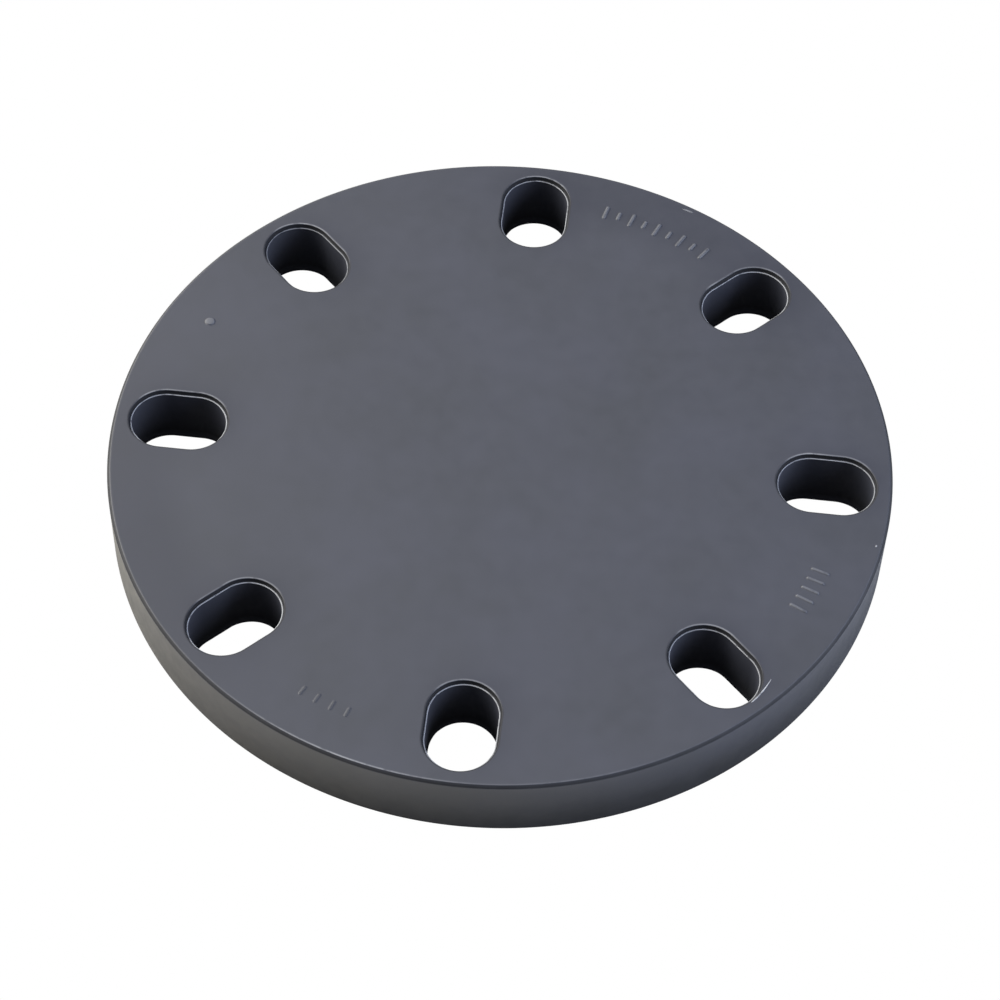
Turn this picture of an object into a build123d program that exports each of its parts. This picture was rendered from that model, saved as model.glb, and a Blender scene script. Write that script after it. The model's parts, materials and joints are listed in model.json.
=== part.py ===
from build123d import *
from math import cos, degrees, pi, radians, sin
import os

# A universal blind flange: one solid disc of grey PVC-U, moulded in a single piece.
# It is bolted across the end of a pipe flange to close it, so it has no bore and no hub.
# The bolt holes are radial slots, so the disc fits the bolt circles of three flange standards.
#
# Frame: the origin is the middle of the sealing face, which lies on Z = 0.
# +Z points out of the marked face, away from the pipe. The first slot is on +X.

# ---- Driving dimensions, in millimetres ----

thickness = 21.0             # sealing face to marked face

slot_count = 8
bolt_circle = 183.0          # diameter of the circle through the middles of the slots
slot_travel = 8.0            # how far a bolt can shift along its slot
slot_width = 19.0            # clear width, for a 5/8 inch or M16 bolt
mouth_ledge = 0.6            # width of the ledge inside a slot's mouth
mouth_depth = 1.3            # the ledge's depth below the face
mouth_edge_radius = 0.25     # rounding where a mouth meets the face

rim_wall = 4.4               # solid left between a slot's mouth and the rim
rim_chamfer = 0.8            # edge break around the marked face
rim_foot_chamfer = 0.5       # edge break around the sealing face

# The moulded marks stand on the marked face, halfway between neighbouring slots.
mark_outset = 4.6            # how far their centres lie outside the slots' centre circle
mark_height = 0.3
mark_root = 0.2              # how deep a mark's root runs into the disc
tick_length = 5.0            # radial length of a plain tick
short_tick_length = 3.0
tick_width = 0.8
maker_row_ticks = 9
maker_row_pitch = 4.1        # tick to tick, along the circle
size_row_ticks = 5
size_row_pitch = 3.5
date_row_ticks = 4
date_row_pitch = 4.6
datum_pip_diameter = 2.6

# ---- Sizes that follow from them ----

mouth_width = slot_width + 2 * mouth_ledge
slot_circle_r = bolt_circle / 2
flange_diameter = bolt_circle + slot_travel + mouth_width + 2 * rim_wall
slot_step_deg = 360 / slot_count
mark_circle_r = slot_circle_r + mark_outset
mark_depth = mark_root + mark_height


def on_circle(radius, angle_deg, z=0.0):
    """A place on a circle about the disc's axis, turned so that local X points outward."""
    angle = radians(angle_deg)
    return Location((radius * cos(angle), radius * sin(angle), z), (0, 0, angle_deg))


# ---- The blank: a plain disc with both rim edges broken ----

def make_blank():
    disc = Cylinder(flange_diameter / 2, thickness, align=(Align.CENTER, Align.CENTER, Align.MIN))
    foot_edge, face_edge = disc.edges().filter_by(GeomType.CIRCLE).sort_by(Axis.Z)
    disc = chamfer(face_edge, rim_chamfer)
    foot_edge = disc.edges().filter_by(GeomType.CIRCLE).sort_by(Axis.Z)[0]
    return chamfer(foot_edge, rim_foot_chamfer)


# ---- The slots: a straight way through with a stepped mouth in each face ----

def slot_outline(width):
    """A stadium whose straight sides are as long as the bolt's travel."""
    return SlotCenterToCenter(slot_travel, width)


def make_slot():
    way_through = extrude(slot_outline(slot_width), thickness)
    mouth = extrude(slot_outline(mouth_width), mouth_depth)
    return way_through + mouth + Pos(0, 0, thickness - mouth_depth) * mouth


def round_mouths(disc):
    """Round the edges where the slots' mouths meet the two faces."""
    half_way_round = pi * flange_diameter / 2
    for face_z in (0, thickness):
        face_edges = disc.edges().filter_by_position(Axis.Z, face_z, face_z)
        mouth_edges = [edge for edge in face_edges if edge.length < half_way_round]
        disc = fillet(mouth_edges, mouth_edge_radius)
    return disc


# ---- The moulded marks: plain ticks and a pip, each with its root in the disc ----

def mark_place(angle_deg):
    return on_circle(mark_circle_r, angle_deg, thickness - mark_root)


def tick_row(middle_deg, count, pitch, lengths):
    """A row of radial ticks along the mark circle. The lengths are used in turn."""
    pitch_deg = degrees(pitch / mark_circle_r)
    ticks = []
    for i in range(count):
        tick = extrude(SlotOverall(lengths[i % len(lengths)], tick_width), mark_depth)
        ticks.append(mark_place(middle_deg + (i - (count - 1) / 2) * pitch_deg) * tick)
    return ticks


def datum_pip(middle_deg):
    return mark_place(middle_deg) * extrude(Circle(datum_pip_diameter / 2), mark_depth)


def gap_middle(gap):
    """The angle halfway between a slot and the next one round."""
    return (gap + 0.5) * slot_step_deg


# ---- The disc ----

flange_disc = make_blank()
slot = make_slot()
for i in range(slot_count):
    flange_disc -= on_circle(slot_circle_r, i * slot_step_deg) * slot
flange_disc = round_mouths(flange_disc)

marks = tick_row(gap_middle(1), maker_row_ticks, maker_row_pitch, [tick_length, short_tick_length])
marks.append(datum_pip(gap_middle(3)))
marks += tick_row(gap_middle(5), date_row_ticks, date_row_pitch, [short_tick_length])
marks += tick_row(gap_middle(7), size_row_ticks, size_row_pitch, [tick_length])
for mark in marks:
    flange_disc += mark

os.makedirs("parts", exist_ok=True)
export_step(flange_disc, "parts/flange_disc.step")
print("outside diameter", round(flange_diameter, 3), "volume", round(flange_disc.volume, 1))
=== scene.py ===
import json
import math

import bmesh
import bpy
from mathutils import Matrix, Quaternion, Vector, noise
from mathutils.geometry import delaunay_2d_cdt


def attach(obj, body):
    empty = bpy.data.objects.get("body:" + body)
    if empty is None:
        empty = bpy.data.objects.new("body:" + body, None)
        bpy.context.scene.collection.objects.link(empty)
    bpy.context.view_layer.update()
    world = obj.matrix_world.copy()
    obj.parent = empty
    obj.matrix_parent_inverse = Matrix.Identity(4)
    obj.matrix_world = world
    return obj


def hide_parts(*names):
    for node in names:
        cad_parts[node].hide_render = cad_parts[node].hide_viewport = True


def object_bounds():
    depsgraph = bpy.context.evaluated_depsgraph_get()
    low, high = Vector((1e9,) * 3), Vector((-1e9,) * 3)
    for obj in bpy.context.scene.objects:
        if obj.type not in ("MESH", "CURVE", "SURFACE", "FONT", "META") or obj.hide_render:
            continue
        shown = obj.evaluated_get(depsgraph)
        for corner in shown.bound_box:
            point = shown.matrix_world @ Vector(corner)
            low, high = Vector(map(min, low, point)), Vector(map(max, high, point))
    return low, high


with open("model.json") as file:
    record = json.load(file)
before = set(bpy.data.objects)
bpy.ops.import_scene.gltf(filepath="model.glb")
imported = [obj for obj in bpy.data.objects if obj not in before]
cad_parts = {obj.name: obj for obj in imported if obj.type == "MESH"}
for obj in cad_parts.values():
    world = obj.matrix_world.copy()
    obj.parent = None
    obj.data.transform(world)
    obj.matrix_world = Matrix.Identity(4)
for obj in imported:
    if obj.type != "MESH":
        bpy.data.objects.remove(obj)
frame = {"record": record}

cad_low, cad_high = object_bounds()

# ---- The disc's blank ----
# A flat round plate of grey PVC-U, moulded in one piece, 21 mm thick.
# Its rim is a plain upright wall with a small edge break all round each face, so the
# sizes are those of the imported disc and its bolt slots. Lengths are in millimetres.

slot_mount = next(m for m in frame["record"]["mounts"] if m["name"] == "bolt_slots_on_x")
face_mount = next(m for m in frame["record"]["mounts"] if m["name"] == "bolting_face")
rim_r = 1000 * cad_high.x
face_z = 1000 * face_mount["pos_m"][2]
slot_circle_r = slot_mount["dims"]["spacing_x_mm"] / 2
slot_end_r = slot_mount["dims"]["hole_r_mm"]
slot_half_travel = slot_mount["dims"]["slot_length_mm"] / 2 - slot_end_r
slot_count = 8
slot_angles = [2 * math.pi * k / slot_count for k in range(slot_count)]

points = []      # every vertex of the disc, in millimetres
paleness = []    # how light or dark each vertex is painted, from -1, dark, to 1, whitened: whitened burrs and beads, with painted highlights and painted shade
faces = []


def add_loop(loop, pale=0.0):
    """Add a closed loop of points and return their indices. pale is one number for the loop,
    or a list with one for each point."""
    first = len(points)
    points.extend(loop)
    paleness.extend(pale if isinstance(pale, list) else [pale] * len(loop))
    return list(range(first, len(points)))


def bridge(upper, lower):
    """Join two loops of the same length with a band of four-sided faces."""
    n = len(upper)
    for i in range(n):
        j = (i + 1) % n
        faces.append((upper[i], upper[j], lower[j], lower[i]))


def loft(loops):
    """Join each loop to the next."""
    for upper, lower in zip(loops, loops[1:]):
        bridge(upper, lower)


seed_spacing = 17.3      # keeps the unevenness of one seed away from the next one's


def waver(x, y, z, size, seed):
    """Smooth unevenness from -1 to 1, with bumps about as wide as size."""
    return noise.noise(Vector((x / size, y / size, z / size + seed_spacing * seed)))


def turned(x, y, z, angle):
    """A point on the line along X, turned about the disc's axis."""
    return (x * math.cos(angle) - y * math.sin(angle),
            x * math.sin(angle) + y * math.cos(angle), z)


rim_segments = 720


def circle(radius, z):
    angles = [2 * math.pi * i / rim_segments for i in range(rim_segments)]
    return [(radius * math.cos(a), radius * math.sin(a), z) for a in angles]


rim_chamfer = 0.8        # round the marked face
rim_foot_chamfer = 0.5   # round the sealing face
edge_softness = 0.12     # rounding left where two surfaces meet
support = 0.35           # flat strip kept beside each rounded edge


def patch(x, y, middle_deg, half_deg):
    """1 at one angle round the disc, fading to 0 about half_deg to each side of it."""
    off = (math.degrees(math.atan2(y, x)) - middle_deg + 180) % 360 - 180
    return math.exp(-(off / half_deg) ** 2)


def rim_edge_highlight(x, y, z):
    """How much a painted highlight lightens the rim's upper edge: most at the front left."""
    highlit = 0.03 + 0.75 * patch(x, y, 254, 13) + 0.16 * patch(x, y, 285, 14)
    return highlit * (1 + 0.3 * waver(x, y, z, 4.0, 3))


def shadowed(x, y, z):
    """How much painted shade darkens the edge breaks, all round."""
    return -0.92 * (1 + 0.1 * waver(x, y, z, 6.0, 4))


def wall_foot_shade(x, y, z):
    """How much painted contact shade darkens the wall's lower half: most along the front right.
    """
    dull = 0.25 + 0.35 * patch(x, y, 255, 30) + 0.75 * patch(x, y, 306, 38)
    return -dull * (1 + 0.12 * waver(x, y, z, 6.0, 4))


def rim_profile():
    """(radius, height, which painted highlight or painted shade, its strength) for each loop
    round the rim, from the marked face down to the sealing face."""
    s, c, f = edge_softness, rim_chamfer, rim_foot_chamfer
    return [
        (rim_r - c - s - support, face_z, rim_edge_highlight, 0.0),
        (rim_r - c - s, face_z, rim_edge_highlight, 0.6),
        (rim_r - c, face_z - 0.3 * s, rim_edge_highlight, 1.0),
        (rim_r - c + s, face_z - 1.2 * s, shadowed, 0.7),
        (rim_r - s, face_z - c + s, shadowed, 1.0),
        (rim_r - 0.3 * s, face_z - c - 0.1 * s, shadowed, 0.4),
        (rim_r, face_z - c - s, wall_foot_shade, 0.0),
        (rim_r, face_z - c - 3 * s, wall_foot_shade, 0.0),
        (rim_r, 0.62 * face_z, wall_foot_shade, 0.35),
        (rim_r, 0.3 * face_z, wall_foot_shade, 0.8),
        (rim_r, f + 3 * s, wall_foot_shade, 0.95),
        (rim_r, f + s, wall_foot_shade, 0.5),
        (rim_r - 0.3 * s, f, shadowed, 0.8),
        (rim_r - f + 0.3 * s, 0.3 * s, shadowed, 0.8),
        (rim_r - f - s, 0.0, shadowed, 0.0),
        (rim_r - f - s - support, 0.0, shadowed, 0.0),
    ]


rim_loops = []
for r, z, painted_light_kind, strength in rim_profile():
    loop = circle(r, z)
    rim_loops.append(add_loop(loop, [strength * painted_light_kind(*point) for point in loop]))
loft(rim_loops)

# ---- The slots ----
# Eight radial bolt slots, moulded right through, so bolts on three different circles fit.
# Each mouth has a shallow step, and the knife that cleaned off the flash left the step's
# inner edge uneven and whitened.

mouth_ledge = 0.6        # width of the step inside the mouth
mouth_depth = 1.3        # the step's depth below the face
mouth_edge_r = 0.25      # rounding where the mouth meets the face
end_segments = 48        # round each half-round end
side_segments = 12       # along each straight side


def slot_normals():
    """(offset along the slot, direction x, direction y) for each point round a slot."""
    found = []
    for i in range(end_segments):
        a = -math.pi / 2 + math.pi * i / end_segments
        found.append((slot_half_travel, math.cos(a), math.sin(a)))
    for i in range(side_segments):
        found.append((slot_half_travel * (1 - 2 * i / side_segments), 0.0, 1.0))
    for i in range(end_segments):
        a = math.pi / 2 + math.pi * i / end_segments
        found.append((-slot_half_travel, math.cos(a), math.sin(a)))
    for i in range(side_segments):
        found.append((slot_half_travel * (2 * i / side_segments - 1), 0.0, -1.0))
    return found


def slot_loop(angle, radius, z, uneven, seed):
    """One closed loop round a slot, radius away from its centreline. It strays in and out,
    and up and down, by about uneven."""
    loop = []
    for along, dx, dy in slot_normals():
        grow = uneven * waver(along + radius * dx, radius * dy, angle, 2.5, seed)
        x = slot_circle_r + along + (radius + grow) * dx
        y = (radius + grow) * dy
        lift = uneven * waver(along + radius * dx, radius * dy, angle, 3.5, seed + 5)
        loop.append(turned(x, y, z + lift, angle))
    return loop


lip_paint_strength = 0.42
lip_shade = 1.6          # how much stronger the painted shade is than the painted highlight


def lip_highlight_and_shade(angle):
    """Paleness for each point of a slot's rounded lip: a painted highlight on its far side,
    towards +Y, and painted shade on its near side."""
    found = []
    for along, dx, dy in slot_normals():
        away = dx * math.sin(angle) + dy * math.cos(angle)
        highlit = min(1.0, max(0.0, (away - 0.15) / 0.6))
        patchy = 0.8 + 0.7 * waver(along + slot_end_r * dx, slot_end_r * dy, angle, 9.0, 7)
        found.append(lip_paint_strength * (highlit * patchy - lip_shade * (1 - highlit)))
    return found


lip_steps = 4            # round the mouth's edge; the lower part of it is painted darker all round, a painted shade


def mouth_rows(whitened):
    """(distance from the slot's centreline, depth below the face, paleness, unevenness) for
    each loop, going in. A paleness of None is the lip's own painted highlight and shade. The
    negative paleness down the mouth and on the slot's wall is painted shade in the recess."""
    m, r, d, w = slot_end_r + mouth_ledge, mouth_edge_r, mouth_depth, slot_end_r
    rows = [(m + r + support, 0.0, 0.0, 0.0)]
    for i in range(lip_steps + 1):
        a = math.pi / 2 * i / lip_steps
        pale = None if i <= lip_steps / 2 else -1.0
        rows.append((m + r - r * math.sin(a), r - r * math.cos(a), pale, 0.0))
    rows += [
        # down the mouth's wall and across the step, painted dark as shade in the recess
        (m, d - 0.30, -1.0, 0.02),
        (m - 0.04, d - 0.08, -1.0, 0.03),
        (m - 0.12, d, -1.0, 0.04),
        (w + 0.34, d + 0.02, -0.8, 0.05),
        # over the bead that the trimmed flash left on the step's inner edge
        (w + 0.24, d - 0.02, 0.7 * whitened, 0.06),
        (w + 0.09, d - 0.09, whitened, 0.06),
        (w - 0.06, d - 0.06, whitened, 0.06),
        (w - 0.11, d + 0.06, 0.8 * whitened, 0.05),
        # back to the slot's wall below it, painted darker as shade
        (w - 0.05, d + 0.16, -0.5, 0.03),
        (w, d + 0.32, -0.4, 0.0),
        (w, d + 0.80, -0.2, 0.0),
    ]
    return rows


hidden_bead_whiteness = 0.2      # in the mouths of the sealing face


def slot_profile(whitened):
    """(distance from the centreline, height, paleness, unevenness) for every loop of a slot,
    from the marked face down to the sealing face."""
    down = [(r, face_z - depth, pale, uneven)
            for r, depth, pale, uneven in mouth_rows(whitened)]
    # The slot's wall is painted darker further down: painted shade deep in the slot.
    half_way = [
        (slot_end_r, 0.62 * face_z, -0.15, 0.0),
        (slot_end_r, 0.38 * face_z, -0.4, 0.0),
        (slot_end_r, 0.20 * face_z, -0.8, 0.0),
    ]
    return down + half_way + mouth_rows(hidden_bead_whiteness)[::-1]


# The beads weren't all cut alike, so each slot has its own whiteness, from +X round.
bead_whiteness = [0.75, 0.9, 0.8, 0.5, 0.95, 1.0, 0.95, 0.75]
slot_tops, slot_feet = [], []
for k, angle in enumerate(slot_angles):
    loops = []
    for radius, z, pale, uneven in slot_profile(bead_whiteness[k]):
        if pale is None:
            pale = lip_highlight_and_shade(angle)
        loops.append(add_loop(slot_loop(angle, radius, z, uneven, seed=k), pale))
    loft(loops)
    slot_tops.append(loops[0])
    slot_feet.append(loops[-1])

# ---- The moulded marks ----
# Low plain ticks and a pip, raised on the marked face halfway between the slots.
# They come out of shallow cuts in the mould, so they are part of the disc, with soft edges.

mark_circle_r = slot_circle_r + 4.6
mark_height = 1000 * cad_high.z - face_z
tick_length = 5.0
short_tick_length = 3.0
tick_half_width = 0.4
pip_r = 1.3
mark_end_segments = 10
pip_straight = 0.0005    # keeps the two half-rounds of the pip from touching

# How far a mark's side lies outside its edge, and the share of its height reached there.
mark_draft = [(0.45, 0.0), (0.20, 0.0), (0.10, 0.16), (0.0, 0.55), (-0.10, 0.9), (-0.2, 1.0)]


def mark_loop(angle, half_length, radius, z):
    """A closed loop with half-round ends, half_length being that of its straight sides."""
    loop = []
    for end in (1, -1):
        for i in range(mark_end_segments + 1):
            a = -math.pi / 2 + math.pi * i / mark_end_segments
            x = mark_circle_r + end * (half_length + radius * math.cos(a))
            y = end * radius * math.sin(a)
            loop.append(turned(x, y, z, angle))
    return loop


def raise_mark(angle, length, half_width, pale=0.16, share=1.0):
    """A rounded bar along the radius, or a round pip where the length is its width.
    share is how much of its height is left."""
    half_length = max(length / 2 - half_width, pip_straight)
    loops = []
    for grow, rise in mark_draft:
        z = face_z + rise * share * mark_height
        # pale * rise paints each mark lighter towards its top: a painted highlight.
        loops.append(add_loop(mark_loop(angle, half_length, half_width + grow, z), pale * rise))
    loft(loops)
    faces.append(tuple(loops[-1]))
    return loops[0]


def tick_angles(middle, count, pitch):
    """The angles of count ticks in a row, pitch apart along the circle."""
    step = pitch / mark_circle_r
    return [middle + (i - (count - 1) / 2) * step for i in range(count)]


gap = [math.pi * (2 * k + 1) / slot_count for k in range(slot_count)]
mark_feet = []
for i, angle in enumerate(tick_angles(gap[1], 9, 4.1)):
    length = tick_length if i % 2 == 0 else short_tick_length
    mark_feet.append(raise_mark(angle, length, tick_half_width))
for angle in tick_angles(gap[5], 4, 4.6):
    # this row is worn almost flat
    worn = raise_mark(angle, short_tick_length, tick_half_width, pale=-0.05, share=0.4)
    mark_feet.append(worn)
for angle in tick_angles(gap[7], 5, 3.5):
    mark_feet.append(raise_mark(angle, tick_length, tick_half_width))
mark_feet.append(raise_mark(gap[3], 2 * pip_r, pip_r))

# ---- The burrs ----
# Curls of whitened plastic where the knife that trimmed the flash slipped and ploughed the
# face up: a long one beside a slot's outer end, and two short ones near the rim. Each is
# joined to the face along its whole length.

burr_sections, burr_sides = 18, 8


def raise_burr(start_deg, end_deg, start_r, drop, half_width, height, pale):
    """A ridge round the disc from one angle to another, thinner at both ends, which moves in
    towards the axis by drop on the way."""
    loops = []
    for i in range(burr_sections + 1):
        t = i / burr_sections
        swell = 0.25 + 0.75 * math.sin(math.pi * min(1.0, 0.15 + 0.85 * t))
        angle = math.radians(start_deg + (end_deg - start_deg) * t)
        section = []
        for j in range(burr_sides):
            b = 2 * math.pi * j / burr_sides
            r = start_r - drop * t ** 1.5 + half_width * swell * math.cos(b)
            z = face_z + height * swell * math.sin(b)
            section.append((r * math.cos(angle), r * math.sin(angle), z))
        loops.append(add_loop(section, pale))
    loft(loops)
    faces.extend([tuple(loops[0]), tuple(reversed(loops[-1]))])


raise_burr(315.0, 320.0, start_r=106.15, drop=1.85, half_width=0.2, height=0.12, pale=0.9)
raise_burr(64.2, 66.0, start_r=107.8, drop=0.3, half_width=0.35, height=0.08, pale=0.3)
raise_burr(349.3, 349.7, start_r=107.9, drop=0.0, half_width=0.25, height=0.08, pale=0.6)

# ---- The two flat faces ----
# The marked face and the sealing face, pressed flat by the two halves of the mould.
# Each is filled between the rim, the slots and the marks, and joins them without a gap.

field_pitch = 2.6        # between the points inside a face
field_margin = 4.0       # kept free of them inside the rim
hole_reach = 32.0        # more than any hole is long or wide
merge_distance = 1e-6


def in_the_clear(x, y, loops, clearance):
    """True if no loop comes as near as clearance. Every third point of a loop is enough."""
    return all((x - points[i][0]) ** 2 + (y - points[i][1]) ** 2 > clearance ** 2
               for loop in loops for i in loop[::3])


def inside_loop(x, y, loop):
    odd = False
    for (x1, y1), (x2, y2) in zip(loop, loop[1:] + loop[:1]):
        if (y1 > y) != (y2 > y) and x < x1 + (y - y1) * (x2 - x1) / (y2 - y1):
            odd = not odd
    return odd


def in_hole(x, y, loop):
    if abs(x - loop[0][0]) > hole_reach or abs(y - loop[0][1]) > hole_reach:
        return False
    return inside_loop(x, y, loop)


def fill_flat(outer, holes, z):
    """Fill a flat face between its outer loop and its holes with evenly sized triangles."""
    ids = [i for loop in [outer, *holes] for i in loop]
    flat = [Vector(points[i][:2]) for i in ids]
    loops, start = [], 0
    for loop in [outer, *holes]:
        loops.append(list(range(start, start + len(loop))))
        start += len(loop)
    rows = int(rim_r / field_pitch)
    for ring in range(rows):
        r = (ring + 0.5) * field_pitch
        if r > rim_r - field_margin:
            continue
        count = max(6, round(2 * math.pi * r / field_pitch))
        for i in range(count):
            a = 2 * math.pi * (i + 0.5 * (ring % 2)) / count
            x, y = r * math.cos(a), r * math.sin(a)
            if in_the_clear(x, y, holes, 0.5 * field_pitch):
                flat.append(Vector((x, y)))
                ids.append(add_loop([(x, y, z)])[0])
    edges = [(loop[i - 1], loop[i]) for loop in loops for i in range(len(loop))]
    made = delaunay_2d_cdt(flat, edges, [], 0, merge_distance)
    verts, tris, origins = made[0], made[2], made[3]
    edge, *inner = [[(flat[i].x, flat[i].y) for i in loop] for loop in loops]
    for tri in tris:
        cx = sum(verts[i].x for i in tri) / 3
        cy = sum(verts[i].y for i in tri) / 3
        if inside_loop(cx, cy, edge) and not any(in_hole(cx, cy, hole) for hole in inner):
            faces.append(tuple(ids[origins[i][0]] for i in tri))


fill_flat(rim_loops[0], slot_tops + mark_feet, face_z)
fill_flat(rim_loops[-1], slot_feet, 0.0)


face_shade_start_r = 86.0      # the two stretches of painted shade by the rim fade in from this radius
face_shade_fade = 12.0         # over this distance
slot_shade_width = 4.5    # the ring of painted shade round a slot fades over about this distance


def painted_face_shade(x, y):
    """How much painted shade darkens the face, from 0 to 1: round each slot, most on its far
    right side, and in two stretches by the rim, at the far right and the front left."""
    outer = min(1.0, max(0.0, (math.hypot(x, y) - face_shade_start_r) / face_shade_fade))
    shade_on_face = outer * (0.75 * patch(x, y, 67, 28) + 0.75 * patch(x, y, 205, 28))
    for angle in slot_angles:
        along = x * math.cos(angle) + y * math.sin(angle) - slot_circle_r
        across = y * math.cos(angle) - x * math.sin(angle)
        over = math.copysign(max(0.0, abs(along) - slot_half_travel), along)
        out = math.hypot(over, across)
        right = over * math.cos(angle) - across * math.sin(angle)
        far = over * math.sin(angle) + across * math.cos(angle)
        side = 0.6 + 0.4 * (right + far) / (1.414 * max(out, 0.1))
        shade_on_face += side * math.exp(-max(0.0, out - slot_end_r) / slot_shade_width)
    return min(1.0, shade_on_face)


def on_rim_wall(x, y):
    return math.hypot(x, y) > rim_r - 0.01


mesh = bpy.data.meshes.new("flange_moulding")
mesh.from_pydata([(0.001 * x, 0.001 * y, 0.001 * z) for x, y, z in points], [], faces)
paled = mesh.attributes.new("paleness", "FLOAT", "POINT")
paled.data.foreach_set("value", paleness)
# the face's painted shade, stored for the material
shade_on_face = mesh.attributes.new("painted_face_shade", "FLOAT", "POINT")
shade_on_face.data.foreach_set("value", [painted_face_shade(x, y) for x, y, z in points])
polished = mesh.attributes.new("rim_polish", "FLOAT", "POINT")
polished.data.foreach_set("value", [float(on_rim_wall(x, y)) for x, y, z in points])
shell = bmesh.new()
shell.from_mesh(mesh)
loose = [v for v in shell.verts if not v.link_faces]
bmesh.ops.delete(shell, geom=loose, context="VERTS")
bmesh.ops.recalc_face_normals(shell, faces=shell.faces)
shell.to_mesh(mesh)
shell.free()
mesh.polygons.foreach_set("use_smooth", [True] * len(mesh.polygons))
flange = bpy.data.objects.new("flange_moulding", mesh)
bpy.context.scene.collection.objects.link(flange)

# ---- Grey moulded PVC-U ----
# Unplasticised PVC coloured dark grey and moulded: a satin skin with cloudy flow marks and a
# faint orange peel, with painted shade round the slots and by the rim, and shinier on the rim's
# wall. Bruised edges and trimmed beads have turned white; painted highlights lighten the rim's
# upper edge, the slot lips' far sides and the marks' tops, and painted shade darkens the edge
# breaks, the mouths and slot walls, the lips' near sides and the wall's foot.


def linear(colour):
    """An sRGB hex colour as linear RGBA."""
    parts = [int(colour[i:i + 2], 16) / 255 for i in (1, 3, 5)]
    return [p / 12.92 if p <= 0.04045 else ((p + 0.055) / 1.055) ** 2.4 for p in parts] + [1.0]


def add_node(tree, kind, inputs=None, **settings):
    """Add a node. inputs gives each socket a value, or another node's output to link from."""
    made = tree.nodes.new(kind)
    for name, value in settings.items():
        setattr(made, name, value)
    for socket, value in (inputs or {}).items():
        if isinstance(value, bpy.types.NodeSocket):
            tree.links.new(value, made.inputs[socket])
        else:
            made.inputs[socket].default_value = value
    return made


def every(size_mm):
    """The texture scale that repeats about once in size_mm, for coordinates in metres."""
    return 1000 / size_mm


first_colour, second_colour, mixed_colour = 6, 7, 2     # the Mix node's sockets for colours

pvc = bpy.data.materials.new("moulded_pvc_u_satin_grey")
pvc.use_nodes = True
tree = pvc.node_tree
tree.nodes.clear()
place = add_node(tree, "ShaderNodeTexCoord").outputs["Object"]
pale = add_node(tree, "ShaderNodeAttribute", attribute_name="paleness").outputs["Fac"]
face_shade_fac = add_node(tree, "ShaderNodeAttribute", attribute_name="painted_face_shade").outputs["Fac"]
clouds = add_node(tree, "ShaderNodeTexNoise",
                  {"Vector": place, "Scale": every(26), "Detail": 3.0,
                   "Roughness": 0.55}).outputs["Fac"]
mottle = add_node(tree, "ShaderNodeTexNoise",
                  {"Vector": place, "Scale": every(5), "Detail": 4.0,
                   "Roughness": 0.6}).outputs["Fac"]
grain = add_node(tree, "ShaderNodeTexNoise",
                 {"Vector": place, "Scale": every(0.8), "Detail": 2.0}).outputs["Fac"]
cloudiness = add_node(tree, "ShaderNodeMapRange",
                      {"Value": clouds, "From Min": 0.32, "From Max": 0.68}).outputs["Result"]
cloudy = add_node(tree, "ShaderNodeMix",
                  {"Factor": cloudiness, first_colour: linear("#3f424c"),
                   second_colour: linear("#434652")},
                  data_type="RGBA").outputs[mixed_colour]
speckle = add_node(tree, "ShaderNodeMapRange",
                   {"Value": mottle, "From Min": 0.35, "From Max": 0.75,
                    "To Min": 0.0, "To Max": 0.18}).outputs["Result"]
mottled = add_node(tree, "ShaderNodeMix",
                   {"Factor": speckle, first_colour: cloudy, second_colour: linear("#484b59")},
                   data_type="RGBA").outputs[mixed_colour]
# the face's painted shade mixes in #343744
face_shading = add_node(tree, "ShaderNodeMapRange",
                   {"Value": face_shade_fac, "To Max": 0.8}).outputs["Result"]
darkened = add_node(tree, "ShaderNodeMix",
                    {"Factor": face_shading, first_colour: mottled,
                     second_colour: linear("#343744")},
                    data_type="RGBA").outputs[mixed_colour]
broken = add_node(tree, "ShaderNodeTexNoise",
                  {"Vector": place, "Scale": every(2.2), "Detail": 3.0}).outputs["Fac"]
# Negative paleness is painted shade, mixed towards #0e1016: on edge breaks, in the mouths and
# slots, on the lips' near sides and at the wall's foot.
painted_shade = add_node(tree, "ShaderNodeMapRange",
                 {"Value": pale, "From Min": 0.0, "From Max": -1.0,
                  "To Max": 0.9}).outputs["Result"]
shaded_colour = add_node(tree, "ShaderNodeMix",
                  {"Factor": painted_shade, first_colour: darkened,
                   second_colour: linear("#0e1016")},
                  data_type="RGBA").outputs[mixed_colour]
broken_up = add_node(tree, "ShaderNodeMapRange",
                     {"Value": broken, "From Min": 0.22, "From Max": 0.46}).outputs["Result"]
whitened = add_node(tree, "ShaderNodeMath", {0: pale, 1: 0.0}, operation="MAXIMUM").outputs[0]
# Positive paleness lightens towards #b4b7c0: whitened burrs and beads, and painted highlights
# on the rim's edge, the lips and the marks.
whitening_and_highlight = add_node(tree, "ShaderNodeMath", {0: whitened, 1: broken_up},
                 operation="MULTIPLY").outputs[0]
skin = add_node(tree, "ShaderNodeMix",
                {"Factor": whitening_and_highlight, first_colour: shaded_colour, second_colour: linear("#b4b7c0")},
                data_type="RGBA").outputs[mixed_colour]
smoothness = add_node(tree, "ShaderNodeMapRange",
                      {"Value": mottle, "From Min": 0.3, "From Max": 0.7,
                       "To Min": 0.53, "To Max": 0.61}).outputs["Result"]
roughened = add_node(tree, "ShaderNodeMath", {0: whitening_and_highlight, 1: 0.25, 2: smoothness},
                     operation="MULTIPLY_ADD").outputs[0]
dulled_skin = add_node(tree, "ShaderNodeMath", {0: painted_shade, 1: 0.3, 2: roughened},
                       operation="MULTIPLY_ADD").outputs[0]
rim_polish = add_node(tree, "ShaderNodeAttribute", attribute_name="rim_polish").outputs["Fac"]
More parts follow.
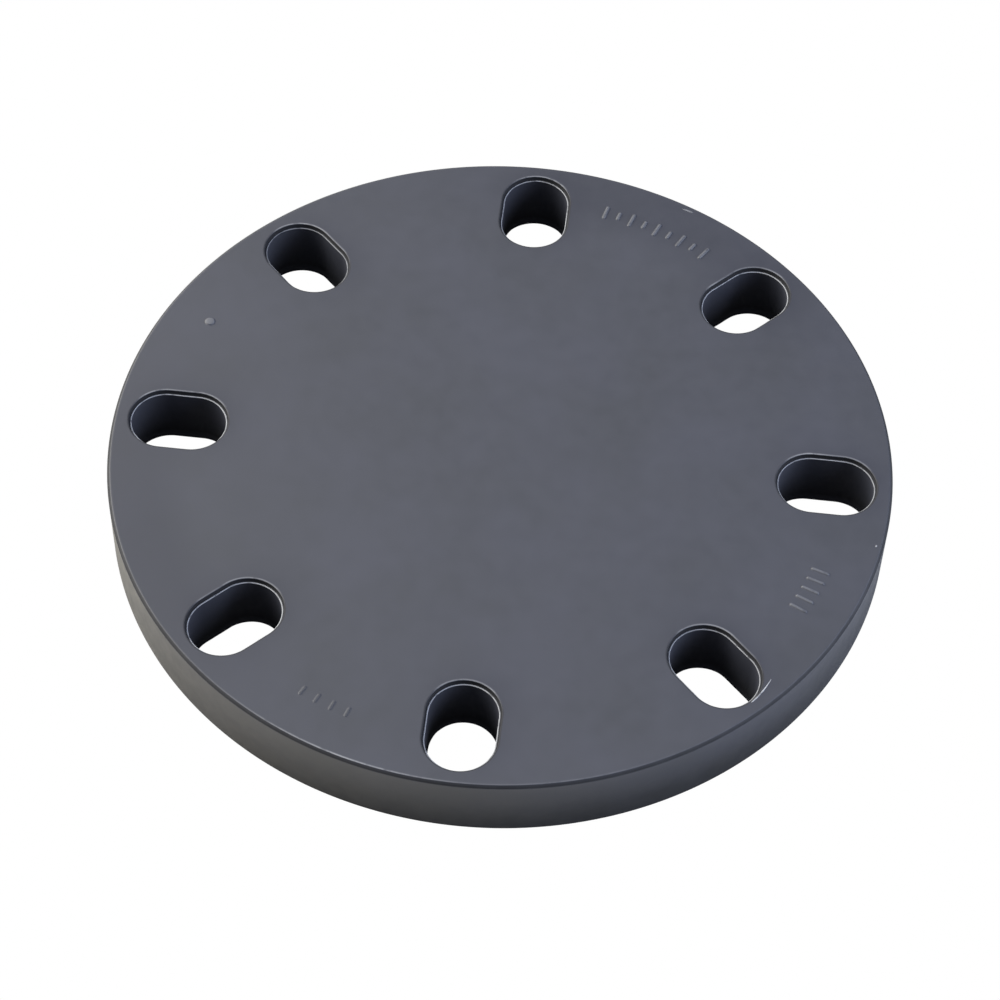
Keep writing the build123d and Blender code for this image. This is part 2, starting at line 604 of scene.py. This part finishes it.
rim_sheen = add_node(tree, "ShaderNodeMath", {0: rim_polish, 1: -0.24, 2: dulled_skin},
                     operation="MULTIPLY_ADD").outputs[0]
peel = add_node(tree, "ShaderNodeBump",
                {"Height": mottle, "Strength": 0.15, "Distance": 0.00004}).outputs["Normal"]
texture = add_node(tree, "ShaderNodeBump",
                   {"Height": grain, "Normal": peel, "Strength": 0.3,
                    "Distance": 0.00001}).outputs["Normal"]
shader = add_node(tree, "ShaderNodeBsdfPrincipled",
                  {"Base Color": skin, "Roughness": rim_sheen, "Normal": texture,
                   "IOR": 1.53, "Metallic": 0.0})
add_node(tree, "ShaderNodeOutputMaterial", {"Surface": shader.outputs["BSDF"]})
mesh.materials.append(pvc)
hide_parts("flange_disc")
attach(flange, "root")

# ---- The floor and what lies beyond it ----
# A table with a matt white laminate top, which throws light up at the rim. The lens doesn't
# see it: all round the disc, and through its slots, it sees only bright white paper.


def add_stage(name, mesh, material):
    """Add an object that isn't part of the flange."""
    made = bpy.data.objects.new(name, mesh)
    bpy.context.scene.collection.objects.link(made)
    made.data.materials.append(material)
    return made


def square(name, size, z):
    made = bpy.data.meshes.new(name)
    h = size / 2
    made.from_pydata([(-h, -h, z), (h, -h, z), (h, h, z), (-h, h, z)], [], [(0, 1, 2, 3)])
    return made


white_laminate = bpy.data.materials.new("white_table_laminate")
white_laminate.use_nodes = True
laminate = white_laminate.node_tree.nodes["Principled BSDF"]
laminate.inputs["Base Color"].default_value = linear("#cdcac0")
laminate.inputs["Roughness"].default_value = 0.7
floor_size = 6.0
floor_clearance = 0.0001     # keeps the table's top and the sealing face from coinciding
table_top = square("floor", floor_size, cad_low.z - floor_clearance)
table = add_stage("floor", table_top, white_laminate)
table.visible_camera = False

white_paper = bpy.data.materials.new("bright_white_paper")
white_paper.use_nodes = True
white_paper.node_tree.nodes.clear()
glow = add_node(white_paper.node_tree, "ShaderNodeEmission",
                {"Color": linear("#ffffff"), "Strength": 1.0})
add_node(white_paper.node_tree, "ShaderNodeOutputMaterial",
         {"Surface": glow.outputs["Emission"]})
tent = bmesh.new()
bmesh.ops.create_icosphere(tent, subdivisions=3, radius=5.0)
tent_mesh = bpy.data.meshes.new("paper_backdrop")
tent.to_mesh(tent_mesh)
tent.free()
backdrop = add_stage("paper_backdrop", tent_mesh, white_paper)
for ray in ("diffuse", "glossy", "transmission", "volume_scatter", "shadow"):
    setattr(backdrop, "visible_" + ray, False)

# ---- The studio light ----
# A big warm soft box behind and to the left, a wide weak one overhead, a bluish one low at
# the right, a very weak one in front, and a dim room.

studio = bpy.data.worlds.new("dim_studio")
studio.use_nodes = True
room = studio.node_tree.nodes["Background"]
room.inputs["Color"].default_value = linear("#e8eaf0")
room.inputs["Strength"].default_value = 0.04
bpy.context.scene.world = studio
bpy.context.scene.view_settings.view_transform = "Standard"


def soft_box(name, place, width, height, power, colour):
    """A soft box at place, facing the middle of the disc, in metres and watts."""
    lamp = bpy.data.lights.new(name, "AREA")
    lamp.shape = "RECTANGLE"
    lamp.size, lamp.size_y = width, height
    lamp.energy = power
    lamp.color = linear(colour)[:3]
    made = bpy.data.objects.new(name, lamp)
    bpy.context.scene.collection.objects.link(made)
    made.location = place
    made.rotation_mode = "QUATERNION"
    made.rotation_quaternion = Vector(place).to_track_quat("Z", "Y")
    made.visible_camera = False


soft_box("back_left_soft_box", (-2.38, 0.96, 1.48), 2.8, 2.8, 215, "#fffbf0")
soft_box("overhead_soft_box", (0.0, 0.0, 1.5), 2.2, 2.2, 4.5, "#ecf0ff")
soft_box("right_soft_box", (1.22, -0.12, 0.5), 0.9, 0.9, 20, "#e4edff")
soft_box("front_soft_box", (0.25, -2.2, 0.6), 1.6, 0.8, 3, "#eef2ff")

# ---- The camera ----
# A long lens looking down at the marked face from the front, a little to the right.

turn = math.radians(5.02)        # round from the front, towards the right
height = math.radians(52.18)     # above the horizon
tilt = math.radians(1.77)        # about the line of sight, anticlockwise
distance = 0.8417                # from the middle of the marked face
lens_mm, sensor_mm = 107.99, 36.0
marked_face_z = cad_low.z + 0.001 * face_z
aim = Vector((0.0017, -0.0169, marked_face_z))     # the point in the middle of the view
lens = bpy.data.cameras.new("camera")
lens.lens, lens.sensor_width = lens_mm, sensor_mm
lens.clip_start, lens.clip_end = 0.05, 30.0
camera = bpy.data.objects.new("camera", lens)
bpy.context.scene.collection.objects.link(camera)
camera.location = Vector((distance * math.sin(turn) * math.cos(height),
                          -distance * math.cos(turn) * math.cos(height),
                          distance * math.sin(height) + marked_face_z))
camera.rotation_mode = "QUATERNION"
camera.rotation_quaternion = ((aim - camera.location).to_track_quat("-Z", "Y")
                              @ Quaternion((0, 0, 1), tilt))
bpy.context.scene.camera = camera
